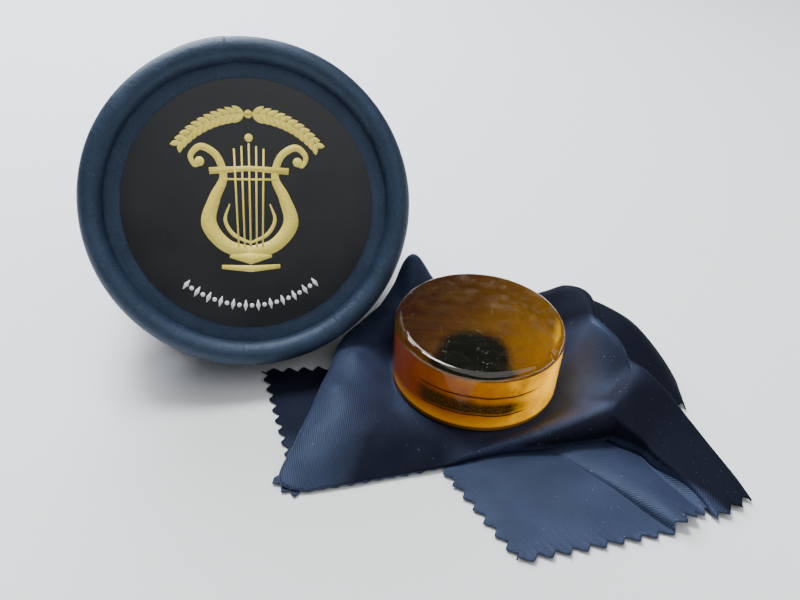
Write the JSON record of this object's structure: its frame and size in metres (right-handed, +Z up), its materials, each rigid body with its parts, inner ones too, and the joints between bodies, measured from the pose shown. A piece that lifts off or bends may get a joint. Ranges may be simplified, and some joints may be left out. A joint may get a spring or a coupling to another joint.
{
  "type": "rosin cake with cloth and round box",
  "caption": "Round translucent amber rosin cake resting on a folded pinked cloth, beside an open round paper-tube box whose lid leans back against its tub.",
  "frame": {"origin": "on the table, on the cloth's underside, under the middle of the rosin cake", "axes": "+Z up; +Y away from the front, towards the leaning lid's back; +X to the right as the lid's face is seen"},
  "size_m": [0.1452, 0.1342, 0.0717],
  "materials": {
    "amber_rosin": "translucent amber rosin, polished, lightly dusted and scratched",
    "navy_twill": "fine navy twill",
    "navy_paper": "satin navy covering paper",
    "black_label": "satin black printed label",
    "grey_board": "bare grey board",
    "neck_board": "board covered with plain black paper"
  },
  "bodies": {
    "cloth": {"rosin_cloth": "navy_twill"},
    "cake": {"rosin_cake": "amber_rosin"},
    "tub": {"tub_core": "grey_board", "tub_wrap": "navy_paper", "tub_neck": "neck_board", "tub_base_disc": "grey_board", "tub_base_facing": "navy_paper"},
    "lid": {"lid_core": "grey_board", "lid_wrap": "navy_paper", "lid_disc": "grey_board", "lid_facing": "navy_paper", "lid_label": "black_label"}
  },
  "joints": [
    {"name": "cake_lift", "type": "slide", "parent": "cloth", "child": "cake", "axis": [0, 0, 1], "range_m": [0, 0.075]},
    {"name": "tub_lift", "type": "slide", "parent": "cloth", "child": "tub", "axis": [0, 0, 1], "range_m": [0, 0.075]},
    {"name": "lid_lift", "type": "slide", "parent": "tub", "child": "lid", "axis": [0, 0, 1], "range_m": [0, 0.075]}
  ]
}
